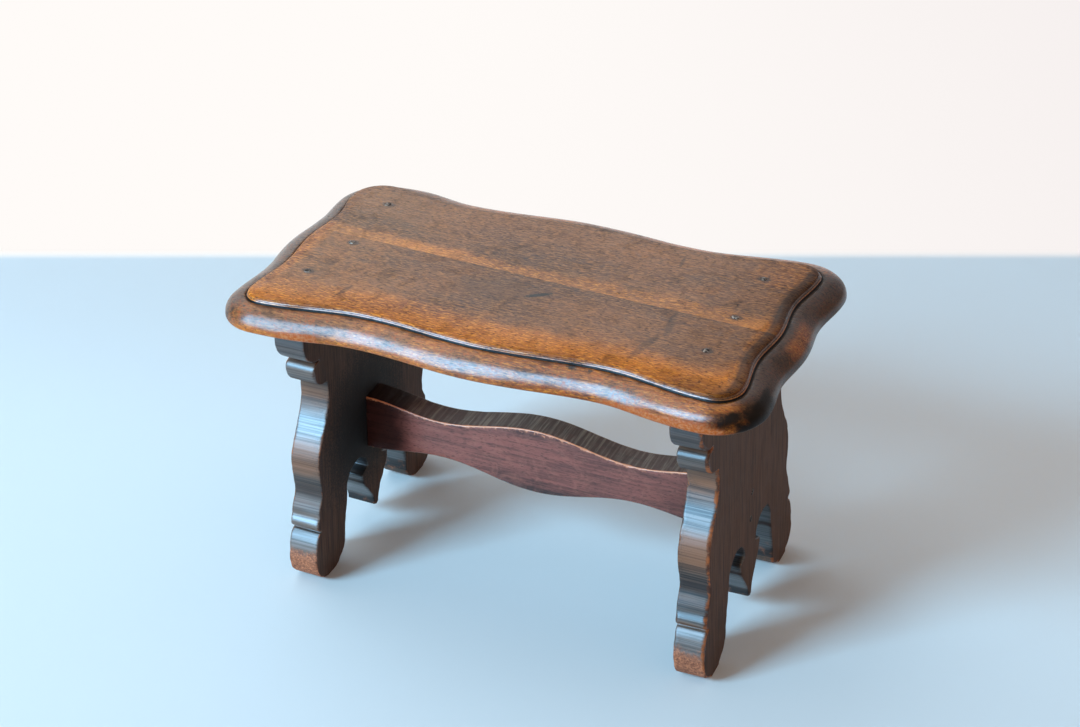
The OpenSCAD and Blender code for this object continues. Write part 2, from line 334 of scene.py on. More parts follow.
topMarks = [
    # place in mm, reach in mm, turn in degrees, strength
    ((9, -14.5, 200), (10.5, 2.2, 3), 35, 0.95),
    ((84, -45, 200), (3.4, 17, 3), -12, 0.42),
    ((89, -16, 200), (2.8, 17, 3), 8, 0.36),
    ((-95, -51, 200), (2.0, 6.5, 3), -15, 0.5),
    ((70, 52, 200), (1.3, 8, 3), 6, 0.45),
    ((54.5, -73.7, 195), (4.2, 3.2, 4), 0, 0.95),
    ((65, -73.8, 195), (1.8, 2.6, 4), 0, 0.8),
    ((-149.2, -83.3, 191), (2.6, 2.4, 4), 0, 0.85),
    ((-134, -48, 200), (5, 4, 3), 0, 0.25),
    ((-39.6, -83.9, 190), (1.5, 1.2, 1.6), 0, 0.5),
    ((-12, -16, 200), (34, 17, 3), 8, 0.34),
    ((129, -74, 200), (26, 14, 3), 0, 0.3),
    ((62, -52, 200), (38, 11, 3), -6, 0.16),
    ((141, -75, 196), (15, 14, 8), 0, 0.22),
]
nailPlaces = [(side * 0.12 + dx, y) for side, dx, y in (
    (-1, -0.0055, -0.0391), (-1, 0.0021, 0.0013), (-1, -0.0008, 0.0523),
    (1, -0.0032, -0.0357), (1, -0.0008, 0.0041), (1, -0.0008, 0.0506))]


def makeTopFinish(name, finish, marks):
    material, tree, shader, place = newMaterial(name)
    paints = paintsOf(finish)
    grain, use = woodParts(tree, place, place, finish["grainSizes"])
    heat = plus(tree, attributeNode(tree, "warm"), times(tree, minus(tree, use["Grime"], 0.5), 0.9))
    heat = stepUp(tree, heat, 0.25, 0.95)
    tone = stepUp(tree, grain["Tone"], 0.32, 0.66)
    torus = attributeNode(tree, "torus")
    crisp = ramp(tree, torus, -0.1, 1.0)

    def heated(brown, orange):
        return mixColour(tree, heat, brown, orange)

    pore = heated(paints["poreBrown"], paints["poreOrange"])
    mottle = times(tree, torus, stepUp(tree, use["Dirt"], 0.48, 0.6))
    mottle = times(tree, mottle, stepUp(tree, use["Rub"], 0.62, 0.45))
    wear = wornMask(tree, place, "wear", *finish["wear"])
    scuffed = mixColour(tree, stepUp(tree, use["Dirt"], 0.62, 0.35), paints["mottle"], paints["worn"])
    darkMask = wornMask(tree, place, "dark", *finish["darkMask"])
    colour = layered(
        tree, heated(mixColour(tree, tone, paints["brownLow"], paints["brownHigh"]),
                     mixColour(tree, tone, paints["orangeLow"], paints["orangeHigh"])),
        (times(tree, stepUp(tree, grain["Fibre"], 0.42, 0.66), finish["fibres"]),
         heated(paints["fleckBrown"], paints["orangeHigh"])),
        (times(tree, grain["Fleck"], times(tree, crisp, finish["flecks"])),
         heated(paints["fleckBrown"], paints["fleckOrange"])),
        (times(tree, grain["Pore"], times(tree, crisp, finish["pores"])), pore),
        (times(tree, attributeNode(tree, "pale"), finish["paleness"]), paints["rubbed"]),
        (times(tree, mottle, finish["mottling"]), paints["mottle"]),
        (times(tree, stepUp(tree, use["Rub"], 0.52, 0.72), finish["grime"]), pore),
        (times(tree, wear, finish["scuffs"]), scuffed),
        # dark grooves and hollows, and painted shade at the front right corner of the torus
        (darkMask, mixColour(tree, torus, paints["groove"], paints["torusDark"])),
        # painted shade on the torus ends, the right end's rounding and step, and the underside; darker tone
        # in parts of the field
        (attributeNode(tree, "shade"), paints["groove"]))
    stains = [([c / 1000 for c in centre], [c / 1000 for c in reach], turn, finish["markRag"], strength)
              for centre, reach, turn, strength in marks]
    stains += [((x + finish["nailStainShift"], y, 0.2), finish["nailStain"], 0.0, finish["nailRag"],
                finish["nailDirt"]) for x, y in nailPlaces]
    for *mark, strength in stains:
        share = times(tree, markMask(tree, place, *mark), strength)
        colour = mixColour(tree, share, colour, paints["groove"])
    gloss = ramp(tree, use["Rub"], 0.2, finish["roughness"])
    gloss = plus(tree, gloss, times(tree, grain["Pore"], 0.2))
    wax = times(tree, attributeNode(tree, "gleam"), ramp(tree, grain["Pore"], -0.2, 1.0))
    wax = times(tree, wax, ramp(tree, mottle, -0.3, 1.0))
    wax = minus(tree, wax, times(tree, stepUp(tree, use["Rub"], 0.45, 0.7), 0.25), clamp=True)
    wax = times(tree, wax, ramp(tree, darkMask, -0.8, 1.0), clamp=True)
    wax = times(tree, wax, ramp(tree, wear, -0.85, 1.0), clamp=True)
    height = plus(tree, times(tree, grain["Height"], finish["grainDepth"]),
                  times(tree, use["Dent"], -finish["dentDepth"]))
    setShader(tree, shader, finish, height, {"Base Color": colour, "Roughness": gloss, "Coat Weight": wax})
    return material


topWood = makeTopFinish("topWood", topFinish, topMarks)
print("top finish made")


# Trestles: dark stain, striated cut edges, arrises worn to orange; painted shade on inner edges, in hollows
# and where the stretcher meets them
trestleFinish = {
    "deep": "3e281d", "brown": "654432", "cutDeep": "241c18", "cutPale": "785a46", "cutWarm": "925a34",
    "cutShade": "30211f", "worn": "b0602c", "wornDark": "4e2a17", "innerShade": "17181a",
    "footWorn": "e08c60", "footDark": "7c4028", "grime": "0a0705",
    "grainSizes": (0.05, 0.0011, 0.006, 0.0007, 0.01, 0.05),
    "pores": 0.16, "shadeStrength": -0.8, "scuffs": 0.85, "rubs": 0.9, "dirt": 0.4, "wear": (0.0045, 0.85, 0.14),
    "footWear": (0.005, 0.6, 0.25), "jointShadeAt": (0.1, -0.006, 0.082), "jointShadeReach": (0.03, 0.07, 0.07),
    "jointShadeRag": 0.4, "jointShadeStrength": 0.95, "toolMarks": (7, 520, 980), "broadMarks": (3, 90, 170),
    "roughness": 0.65, "cutRoughness": 0.3, "dullCut": 0.85, "polish": 0.4, "coatIor": 1.95, "specular": 0.4,
    "grainDepth": 0.00002, "toolDepth": 0.00016, "bump": 0.8,
}


def makeTrestleFinish(name, finish):
    material, tree, shader, place = newMaterial(name)
    paints = paintsOf(finish)
    parts = addNode(tree, "ShaderNodeSeparateXYZ", {0: place}).outputs
    upright = addNode(tree, "ShaderNodeCombineXYZ", {0: parts[2], 1: parts[1], 2: parts[0]}).outputs[0]
    grain, use = woodParts(tree, place, upright, finish["grainSizes"])
    cut, toneAndShade, gleam = (attributeNode(tree, label) for label in ("cut", "toneAndShade", "gleam"))
    # Marks of the tool run straight across each cut edge
    lines = noiseNode(tree, vectorNode(tree, "MULTIPLY", place, finish["toolMarks"]), 1.0, 3.0, 0.7, 0.15)
    broad = noiseNode(tree, vectorNode(tree, "MULTIPLY", place, finish["broadMarks"]), 1.0, 2.0, 0.6)
    cutTone = ramp(tree, broad, 0.5, times(tree, lines, 0.6))
    cutColour = layered(
        tree, mixColour(tree, stepUp(tree, cutTone, 0.38, 0.78), paints["cutDeep"], paints["cutPale"]),
        (times(tree, toneAndShade, stepUp(tree, cutTone, 0.3, 0.6), clamp=True), paints["cutWarm"]),
        # painted shade on the cut edges where the height table goes below 0
        (times(tree, toneAndShade, finish["shadeStrength"], clamp=True), paints["cutShade"]),
        # painted shade on the inner edges of the legs, arch and pendant
        (attributeNode(tree, "inner"), paints["innerShade"]))
    foot = times(tree, wornMask(tree, place, "footWear", *finish["footWear"]), finish["scuffs"])
    wear = wornMask(tree, place, "wear", *finish["wear"])
    colour = layered(
        tree, mixColour(tree, stepUp(tree, grain["Fibre"], 0.3, 0.75), paints["deep"], paints["brown"]),
        (times(tree, grain["Pore"], finish["pores"]), paints["grime"]),
        (cut, cutColour),
        (foot, mixColour(tree, stepUp(tree, use["Dirt"], 0.3, 0.72), paints["footDark"], paints["footWorn"])),
        (times(tree, wear, finish["rubs"]),
         mixColour(tree, stepUp(tree, use["Rub"], 0.42, 0.6), paints["wornDark"], paints["worn"])),
        (times(tree, stepUp(tree, use["Grime"], 0.5, 0.8), finish["dirt"]), paints["grime"]))
    # painted shade on each trestle's inner face where the stretcher meets it, in the dark grime colour
    across, forward, height = finish["jointShadeAt"]
    for side in (-1, 1):
        centre = (side * across, forward, height)
        jointShade = markMask(tree, place, centre, finish["jointShadeReach"], 0.0, finish["jointShadeRag"])
        colour = mixColour(tree, times(tree, jointShade, finish["jointShadeStrength"]), colour, paints["grime"])
    plain = ramp(tree, use["Rub"], 0.2, finish["roughness"])
    glossy = mixValue(tree, gleam, finish["dullCut"], ramp(tree, lines, 0.24, finish["cutRoughness"]))
    gloss = mathNode(tree, "MAXIMUM", mixValue(tree, cut, plain, glossy), times(tree, wear, 0.55))
    wax = times(tree, ramp(tree, stepUp(tree, lines, 0.38, 0.6), 0.5, 0.5), gleam)
    bare = minus(tree, 1.0, mathNode(tree, "MAXIMUM", wear, foot), clamp=True)
    height = plus(tree, times(tree, times(tree, lines, cut), finish["toolDepth"]),
                  times(tree, grain["Height"], finish["grainDepth"]))
    wax = times(tree, wax, bare, clamp=True)
    setShader(tree, shader, finish, height, {"Base Color": colour, "Roughness": gloss, "Coat Weight": wax})
    return material


trestleWood = makeTrestleFinish("trestleWood", trestleFinish)


# Stretcher: red-brown faces, rough dark top, pale arris, painted shade towards the trestles
stretcherFinish = {
    "deep": "240e0a", "brown": "9e564a", "red": "ae6a5a", "topDark": "6a544c", "topPale": "a48e7c",
    "worn": "f89a6c", "grainSizes": (0.05, 0.0022, 0.005, 0.001, 0.008, 0.03),
    "redness": 0.35, "pores": 0.5, "topShare": 0.85, "shadeStrength": 0.88, "rubs": 0.9,
    "dim": (0.02, 0.3, 0.45), "wear": (0.004, 0.6, 0.14), "toolMarks": (500, 22, 300),
    "roughness": 0.3, "polish": 0.24, "coatIor": 1.7, "specular": 0.12,
    "grainDepth": 0.00004, "toolDepth": 0.00025, "dentDepth": 0.00012, "bump": 0.7,
}


def makeStretcherFinish(name, finish):
    material, tree, shader, place = newMaterial(name)
    paints = paintsOf(finish)
    grain, use = woodParts(tree, place, place, finish["grainSizes"])
    cut = attributeNode(tree, "cut")
    tone = ramp(tree, grain["Tone"], 0.6, times(tree, grain["Fibre"], 0.4))
    lines = noiseNode(tree, vectorNode(tree, "MULTIPLY", place, finish["toolMarks"]), 1.0, 3.0, 0.7, 0.15)
    # painted shade towards the trestles, deepest at the left end, carried by the mesh
    dim = wornMask(tree, place, "dark", *finish["dim"])
    wear = wornMask(tree, place, "wear", *finish["wear"])
    colour = layered(
        tree, mixColour(tree, stepUp(tree, tone, 0.35, 0.62), paints["deep"], paints["brown"]),
        (times(tree, stepUp(tree, use["Rub"], 0.45, 0.7), finish["redness"]), paints["red"]),
        (times(tree, grain["Pore"], finish["pores"]), paints["deep"]),
        (times(tree, cut, finish["topShare"]),
         mixColour(tree, stepUp(tree, lines, 0.4, 0.75), paints["topDark"], paints["topPale"])),
        (times(tree, dim, finish["shadeStrength"]), paints["deep"]),
        (times(tree, wear, finish["rubs"]), paints["worn"]))
    gloss = plus(tree, ramp(tree, use["Rub"], 0.2, finish["roughness"]), times(tree, cut, 0.16))
    wax = times(tree, minus(tree, 1.0, cut), ramp(tree, use["Rub"], -0.3, 0.85), clamp=True)
    wax = times(tree, wax, ramp(tree, dim, -0.9, 1.0), clamp=True)
    height = plus(tree, times(tree, times(tree, lines, cut), finish["toolDepth"]),
                  times(tree, grain["Height"], finish["grainDepth"]))
    height = plus(tree, height, times(tree, use["Dent"], -finish["dentDepth"]))
    setShader(tree, shader, finish, height, {"Base Color": colour, "Roughness": gloss, "Coat Weight": wax})
    return material


stretcherWood = makeStretcherFinish("stretcherWood", stretcherFinish)


# Nails: dull dark iron, rubbed brighter where the heads face up
nailFinish = {
    "dark": "2c2622", "rubbed": "bca898", "rust": "4a2c1e", "dentSize": 0.0014, "grimeSize": 0.0022,
    "roughness": 0.38, "metallic": 0.75, "dentDepth": 0.0002, "bump": 0.8,
}


def makeNailFinish(name, finish):
    material, tree, shader, place = newMaterial(name)
    paints = paintsOf(finish)
    use = placeGroup(tree, longUse, {"Place": place, "Dent Size": finish["dentSize"],
                                     "Grime Size": finish["grimeSize"]})
    normal = addNode(tree, "ShaderNodeNewGeometry").outputs["Normal"]
    facing = addNode(tree, "ShaderNodeSeparateXYZ", {0: normal}).outputs[2]
    rubbed = times(tree, stepUp(tree, use["Grime"], 0.42, 0.66), stepUp(tree, facing, 0.0, 0.7))
    colour = layered(tree, paints["dark"], (rubbed, paints["rubbed"]),
                     (stepUp(tree, use["Rub"], 0.56, 0.7), paints["rust"]))
    setShader(tree, shader, finish, times(tree, use["Dent"], -finish["dentDepth"]),
              {"Base Color": colour, "Roughness": ramp(tree, use["Rub"], 0.3, finish["roughness"])})
    return material


nailIron = makeNailFinish("nailIron", nailFinish)
print("trestle, stretcher and nail finishes made")


# Mesh helpers
def eased(a, b, t):
    return a + (b - a) * (1 - math.cos(math.pi * t)) / 2


def between(low, high, value):
    t = min(1, max(0, (value - low) / (high - low)))
    return t * t * (3 - 2 * t)


def band(low, high, fadeFrom, fadeTo, value):
    return between(low, high, value) * (1 - between(fadeFrom, fadeTo, value))


def ripple(x, y, z, size, seed=0.0):
    return noise.noise(Vector((x / size + seed, y / size - seed, z / size + 2 * seed)))


def arcPoints(centre, radii, start, stop, n=14):
    made = []
    for i in range(n + 1):
        a = math.radians(start + (stop - start) * i / n)
        made.append((centre[0] + radii[0] * math.cos(a), centre[1] + radii[1] * math.sin(a)))
    return made


def joinRings(faces, rings, closed=True):
    for a, b in zip(rings, rings[1:]):
        for i in range(len(a) if closed else len(a) - 1):
            j = (i + 1) % len(a)
            faces.append((a[i], a[j], b[j], b[i]))


def closeEnds(faces, flat, rings):
    for ring in (rings[0], rings[-1]):
        flat.append(len(faces))
        faces.append(tuple(ring))


def addPiece(name, points, faces, flatFaces, carried, material, node, crisp=False):
    mesh = bpy.data.meshes.new(name)
    mesh.from_pydata(points, [], faces)
    for label, values in carried.items():
        mesh.attributes.new(label, "FLOAT", "POINT").data.foreach_set("value", values)
    mesh.polygons.foreach_set("use_smooth", [i not in flatFaces for i in range(len(faces))])
    shape = bmesh.new()
    shape.from_mesh(mesh)
    bmesh.ops.recalc_face_normals(shape, faces=shape.faces)
    if crisp:  # keep the shading of a flat face off its neighbours
        shape.faces.ensure_lookup_table()
        for i in flatFaces:
            for edge in shape.faces[i].edges:
                edge.smooth = False
    shape.to_mesh(mesh)
    shape.free()
    mesh.materials.append(material)
    made = bpy.data.objects.new(name, mesh)
    bpy.context.scene.collection.objects.link(made)
    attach(made, "root")
    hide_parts(node)
    return made


# The moulded top: two boards along one glue joint, all sizes in metres
topShape = {
    "length": 0.327, "width": 0.186, "top": 0.2, "under": 0.1832,
    # waves of the four sides: depth of the hollow from the ears, rise of the crown from the hollow
    "moulding": 0.0154, "sideHollow": 0.008, "sideCrown": 0.0054, "endHollow": 0.0038, "endCrown": 0.0028,
    "ears": {"frontLeft": 0.0115, "frontRight": 0.015, "backRight": 0.012, "backLeft": 0.019},
    "cornerReach": {"frontLeft": 0.88, "frontRight": 0.93, "backRight": 1.0, "backLeft": 0.8},
    "cornerDrop": {"backLeft": 0.0008},
    "longHollow": 0.0719, "shortHollow": 0.0307, "jointForward": -0.0025, "jointSkew": 3.0,
    # section: rounded edge of the field, the step below it, then the torus and its undercut
    "fieldEdge": 0.0038, "fieldRound": 0.0031, "fieldFall": 0.0013, "insets": (0.0032, 0.001),
    "step": [  # outward and down in mm, share of the groove's darkening
        (-0.68, 1.36, 0.9), (-0.65, 1.4, 0.05), (-0.2, 1.85, 0.05), (-0.17, 1.91, 0.9), (-0.14, 2.1, 0.95),
        (-0.11, 2.15, 0.05), (0.38, 2.62, 0.05), (0.41, 2.7, 0.95), (0.5, 3.1, 1.0), (0.66, 3.45, 0.95),
        (0.95, 3.68, 0.95), (1.28, 3.6, 0.85), (1.5, 3.4, 0.5)],
    "torusStart": 0.0019, "torusFall": 0.0033, "widest": 0.0031, "undercut": 0.005,
    "frontNarrower": 0.5, "rightWider": 0.65,
    "longSteps": 230, "shortSteps": 34, "earSteps": 20, "fieldSteps": 22, "underSteps": 6,
    "roundSteps": 9, "torusSteps": 22, "undercutSteps": 10,
    "waver": 0.00022, "fieldWave": 0.00014,
}


def quirkLine(shape, way):
    earX = shape["length"] / 2 - shape["moulding"]
    earY = shape["width"] / 2 - shape["moulding"]
    hollowX, hollowY = earX - shape["endHollow"], earY - shape["sideHollow"]
    crownX, crownY = hollowX + shape["endCrown"], hollowY + shape["sideCrown"]
    side = "front" if way < 0 else "back"
    radius = {1: shape["ears"][side + "Right"], -1: shape["ears"][side + "Left"]}
    right, left = earX - radius[1], radius[-1] - earX
    slope = math.tan(math.radians(shape["jointSkew"]))
    line = []

    def edge(s, crown, hollow, ear, hollowAt, earAt):
        s = abs(s)
        if s < hollowAt:
            return eased(crown, hollow, s / hollowAt)
        return eased(hollow, ear, min(1, (s - hollowAt) / (earAt - hollowAt)))

    def endPoint(hand, share):  # share runs from the joint to the ear
        joint, ear = -shape["jointForward"] - hand * crownX * slope, way * (earY - radius[hand])
        y = joint + (ear - joint) * share
        line.append((hand * edge(y, crownX, hollowX, earX, shape["shortHollow"], abs(ear)), y))

    def earPoints(hand, x, start):
        r = radius[hand]
        return arcPoints((x, way * (earY - r)), (r, way * r), start, start + 90, shape["earSteps"])

    for i in range(shape["shortSteps"]):
        endPoint(1, i / shape["shortSteps"])
    line += earPoints(1, right, 0)[:-1]
    for i in range(shape["longSteps"] + 1):
        x = right + (left - right) * i / shape["longSteps"]
        line.append((x, way * edge(x, crownY, hollowY, earY, shape["longHollow"], right if x > 0 else -left)))
    line += earPoints(-1, left, 90)[1:]
    for i in range(1, shape["shortSteps"] + 1):
        endPoint(-1, 1 - i / shape["shortSteps"])
    return line


# Moulding section from the field to the bottom arris: out from the quirk,
# height, and shares of groove, lip and way down the torus that the finish reads.
# The way down is 1 at the widest point and runs on past it in the undercut.
def mouldingSection(shape):
    top, wide, start = shape["top"], shape["moulding"], shape["torusStart"]
    rows = [(-shape["fieldEdge"] - inset, top, 0, 0, 0) for inset in shape["insets"]]
    for i in range(shape["roundSteps"] + 1):
        a = math.pi / 2 * i / shape["roundSteps"]
        rows.append((-shape["fieldEdge"] + shape["fieldRound"] * math.sin(a),
                     top - shape["fieldFall"] * (1 - math.cos(a)), 0, i / shape["roundSteps"], 0))
    rows += [(out / 1000, top - drop / 1000, groove, 0, 0) for out, drop, groove in shape["step"]]
    wideZ, crownZ = shape["under"] + shape["widest"], top - shape["torusFall"]
    for i in range(1, shape["torusSteps"] + 1):
        a = math.pi / 2 * i / shape["torusSteps"]
        rows.append((start + (wide - start) * math.sin(a), wideZ + (crownZ - wideZ) * math.cos(a),
                     0.3 * max(0, 1 - i / 3), 0, i / shape["torusSteps"]))
    for i in range(1, shape["undercutSteps"] + 1):
        a = math.pi / 2 * i / shape["undercutSteps"]
        rows.append((wide - shape["undercut"] * (1 - math.cos(a)), wideZ - shape["widest"] * math.sin(a),
                     0, 0, 1 + 0.03 * i))
    return rows


# Use of the top by place, from none to full, in metres along x or y
topUse = {
    "leftPart": (-0.05, -0.13), "leftField": (-0.06, -0.13), "farLeft": (-0.2, -0.13),
    "rightEnd": (0.1, 0.13), "frontEdge": (-0.03, -0.05), "backEdge": (0.03, 0.05),
    "cornerAlong": (0.105, 0.14), "cornerAcross": (0.025, 0.06),
    "cornerShadeAlong": (0.12, 0.15), "cornerShadeAcross": (-0.035, -0.06), "pinkPatch": (0.065, 0.1, 0.138, 0.15),
    "smallPatch": (-0.122, -0.112, -0.1, -0.092), "endPatchAt": 0.003, "endPatch": (0.024, 0.006),
}


def makeBoard(name, shape, use, way, node):
    line = [Vector(p) for p in quirkLine(shape, way)]
    n = len(line)
    skew = math.radians(shape["jointSkew"])
    isFront = way < 0
    out = [Vector((math.cos(skew), -math.sin(skew)))]
    for before, after in zip(line, line[2:]):
        d = (after - before).normalized()
        out.append(Vector((d.y, -d.x)) * way)
    out.append(Vector((-math.cos(skew), math.sin(skew))))
    points, faces = [], []
    carried = {label: [] for label in ("warm", "wear", "dark", "gleam", "pale", "torus", "shade")}

    def addPoint(x, y, z, **values):
        z += shape["fieldWave"] * between(0.19, 0.2, z) * ripple(x, y, 0, 0.035, 4.0)
        points.append((x, y, z))
        for label in carried:
            carried[label].append(values.get(label, 0.0))
        return len(points) - 1

    def pastJoint(x, y):
        return y + shape["jointForward"] + x * math.tan(skew)

    def jointBand(x, y):
        back = 0.015 + 0.07 * max(0, x) + 0.005 * ripple(x, 0, 0, 0.012, 6.0)
        return 0.0 if isFront else 1 - between(0.003, back, pastJoint(x, y))

    def fieldWarmth(x, y, rim, facing):
        if isFront:
            reach = 0.037 + 0.012 * ripple(x, 0, 0, 0.05, 2.0)
            near = (1 - between(0.0, reach, rim)) * (0.25 + 0.75 * facing) * between(*use["farLeft"], x)
            return (0.2 + 1.05 * near + 0.28 * between(*use["leftPart"], x)
                    + 0.3 * between(*use["rightEnd"], x) * between(*use["frontEdge"], y))
        return (0.2 + 0.95 * jointBand(x, y) + 0.1 * between(*use["leftField"], x)
                + 0.35 * between(*use["rightEnd"], x) * between(*use["backEdge"], y))

    def fieldPolish(x, rim, facing):
        polish = 0.76 - 0.2 * between(0.08, 0.12, x) - 0.3 * between(0.11, 0.15, x)
        polish -= (0.55 + 0.2 * between(0.02, 0.08, x)) * between(0.024, 0.0, rim) * facing
        return max(0.1, polish)

    # darker in parts of the field and along the front board's edge at the joint, with painted shade on the
    # right end's rounding and step, which face away from the window
    def fieldShade(x, y, rim, side):
        shade = 0.07 * between(-0.1, -0.03, x) + 0.09 * between(-0.128, -0.118, x) * between(-0.085, -0.1, x)
        if isFront:
            shade += 0.12 * between(-0.005, 0.0, pastJoint(x, y))
        return shade + 0.1 * between(0.06, 0.12, x) + 0.6 * between(0.0018, 0.0002, rim) * side ** 0.5

    def sectionPlace(i, row, away, inset):
        p, o = line[i], out[i]
        shift = shape["waver"] * ripple(p.x, p.y, row * 0.002, 0.02, 1.0) * min(1, min(i, n - 1 - i) / 4)
        reach, drop = away + inset, 0.0
        if away > 0:
            corner = between(*use["cornerAlong"], abs(p.x)) * between(*use["cornerAcross"], abs(p.y))
            label = ("front" if isFront else "back") + ("Right" if p.x > 0 else "Left")
            reach *= 1 - (1 - shape["cornerReach"][label]) * corner
            drop = shape["cornerDrop"].get(label, 0.0) * corner
        elif isFront or p.x > 0:
            wider = shape["rightWider"] if p.x > 0 else 0
            reach *= 1 - shape["frontNarrower"] * abs(o.y) ** 2 + wider * abs(o.x) ** 2
        return p.x + o.x * (reach + shift - inset), p.y + o.y * (reach + shift - inset), drop

    rings = []
    for row, (away, z, groove, lip, down) in enumerate(mouldingSection(shape)):
        low = between(0.6, 1.05, down)
        inset = max(0.0, -shape["fieldEdge"] - away)
        ring = []
        for i, (p, o) in enumerate(zip(line, out)):
            x, y, drop = sectionPlace(i, row, away, inset)
            frontness, endness = max(0, -o.y), abs(o.x)
            isRight = p.x > 0
            rightness = between(0.5, 0.9, endness) if isRight else 0.0
            warm = fieldWarmth(p.x, p.y, inset, frontness)
            if away > 0.001:  # torus and undercut
                warm = 0.56 + (0.34 + 0.3 * ripple(x, y, z, 0.02, 5.0)) * frontness - 0.3 * endness
                warm += 0.35 * between(0.09, 0.14, p.x) * frontness * (1 - low)
                warm -= 0.3 * band(0.2, 0.4, 0.65, 0.85, down) * frontness
                warm -= 0.4 * between(-0.07, -0.12, p.x) * (1 - low) + 0.35 * low * (1 - frontness)
            wear = 0.0
            if low > 0:  # rubbed bare low on the front, most of all in two patches
                pink = band(*use["pinkPatch"], x) * between(0.78, 0.92, down + 4 * max(0, x - 0.1))
                small = band(*use["smallPatch"], x) * between(0.75, 0.85, down)
                wear = frontness * (0.2 * low + 0.9 * pink + 0.9 * small) + 0.1 * low
            if lip > 0.6:  # rounded edge of the field
                wear = max(wear, (0.2 if isRight else 0.4) * (lip - 0.6) / 0.4 * endness)
            # painted shade at the front right corner, where the torus turns away from the window
            torusDark = between(*use["cornerShadeAlong"], x - 0.004 * down) * between(*use["cornerShadeAcross"], y)
            torusDark *= between(0.2, 0.5, down) * (1 - between(0.78, 1.0, down) * (1 - between(0.144, 0.156, x)))
            torusDark *= 0.84 + 0.3 * ripple(x, y, z, 0.006, 7.0)
            dark = max(groove, torusDark * (1 - between(1.05, 1.25, down)))
            shade = fieldShade(p.x, p.y, inset, max(0, o.x))
            if down > 0:  # the torus is darker on its ends: painted shade on the right end, which faces away from the window, less darkening on the left end and along the front; a worn patch at the middle of the right end stays lighter
                patch = between(*use["endPatch"], abs(p.y - use["endPatchAt"]))
                patch *= between(0.1, 0.35, down) * between(0.9, 0.6, down)
                shade = 0.12 * frontness * (1 - low)
                if isRight:
                    shade += (0.82 - 0.34 * patch) * between(0.55, 0.97, endness)
                elif p.x < 0:
                    shade += 0.5 * between(0.4, 0.8, endness)
                warm += 0.4 * patch * rightness
            elif 0 < away < 0.0004:  # fillet in the step, brighter at the right end
                dark *= 1 - 0.7 * rightness
                shade *= 1 - 0.7 * rightness
                warm += 0.4 * rightness
            if 0 < down < 0.6:  # grime in the hollow below the lip
                grime = (0.3 + 0.5 * ripple(x, y, z, 0.014, 9.0)) * frontness
                dark = max(dark, grime * (1 - between(0.003, 0.008, away)))
            gleam = 1 - 0.35 * low - 0.4 * between(0.0, 0.05, x) * between(0.72, 0.85, down) * frontness
            gleam -= between(0.088, 0.108, x) * between(0.6, 0.74, down) * frontness
            gleam -= 0.25 * between(-0.06, -0.12, x) * frontness
            gleam -= 0.55 * rightness * (1 - between(0.6, 0.85, down))
            if down == 0:  # step: polished but for its grooves
                gleam = 1.0 if groove < 0.3 else 0.3
            if lip > 0 or z == shape["top"]:
                gleam = fieldPolish(p.x, inset, frontness) * (1 - 0.7 * between(0.0, 0.5, lip))
            ring.append(addPoint(x, y, z - drop, warm=warm, wear=wear, dark=dark, gleam=gleam, shade=shade,
                                 torus=between(0.0, 0.2, down)))
        rings.append(ring)
    joinRings(faces, rings, closed=False)

    # Field and underside run from the moulding to the joint
    def jointPlace(ring):
        first, last = Vector(points[ring[0]]), Vector(points[ring[-1]])
        span = last - first
        places, best = [], 0.0
        for k, i in enumerate(ring[:-1]):
            s = 0.5 * (Vector(points[i]) - first).dot(span) / span.length_squared + 0.5 * k / (n - 1)
            best = min(1.0, max(best + 1e-5, s))
            places.append(first + span * best)
        return places + [last]

    def spread(ring, steps, isField):
        inner = jointPlace(ring)
        previous = ring
        for k in range(1, steps + 1):
            row = [ring[0]]
            for i in range(1, n - 1):
                start = Vector(points[ring[i]])
                p = start.lerp(inner[i], k / steps)
                rim = (p - start).length + shape["insets"][0]
                facing = max(0, -out[i].y)
                if isField:
                    row.append(addPoint(
                        p.x, p.y, shape["top"], warm=fieldWarmth(p.x, p.y, rim, facing),
                        gleam=fieldPolish(p.x, rim, facing),
                        shade=fieldShade(p.x, p.y, rim, max(0, out[i].x)),
                        pale=min(1.0, 0.5 * jointBand(p.x, p.y) + 0.3 * between(*use["leftPart"], p.x))))
                else:
                    # the underside gets painted shade
                    row.append(addPoint(p.x, p.y, shape["under"], warm=0.1, gleam=0.3, shade=0.3))
            row.append(ring[-1])
            for i in range(n - 1):
                quad = dict.fromkeys((previous[i], previous[i + 1], row[i + 1], row[i]))  # a corner once only
                if len(quad) > 2:
                    faces.append(tuple(quad))
            previous = row
        return previous

    fieldEnd = spread(rings[0], shape["fieldSteps"], True)
    underEnd = spread(rings[-1], shape["underSteps"], False)
    leftSide, rightSide = [r[-1] for r in rings], [r[0] for r in rings]
    faces.append(tuple(fieldEnd + leftSide[1:] + underEnd[::-1][1:] + rightSide[::-1][1:-1]))
    return addPiece(name, points, faces, [len(faces) - 1], carried, topWood, node, crisp=True)


makeBoard("frontBoard", topShape, topUse, -1, "top_board_front")
makeBoard("backBoard", topShape, topUse, 1, "top_board_back")
print("moulded boards made")


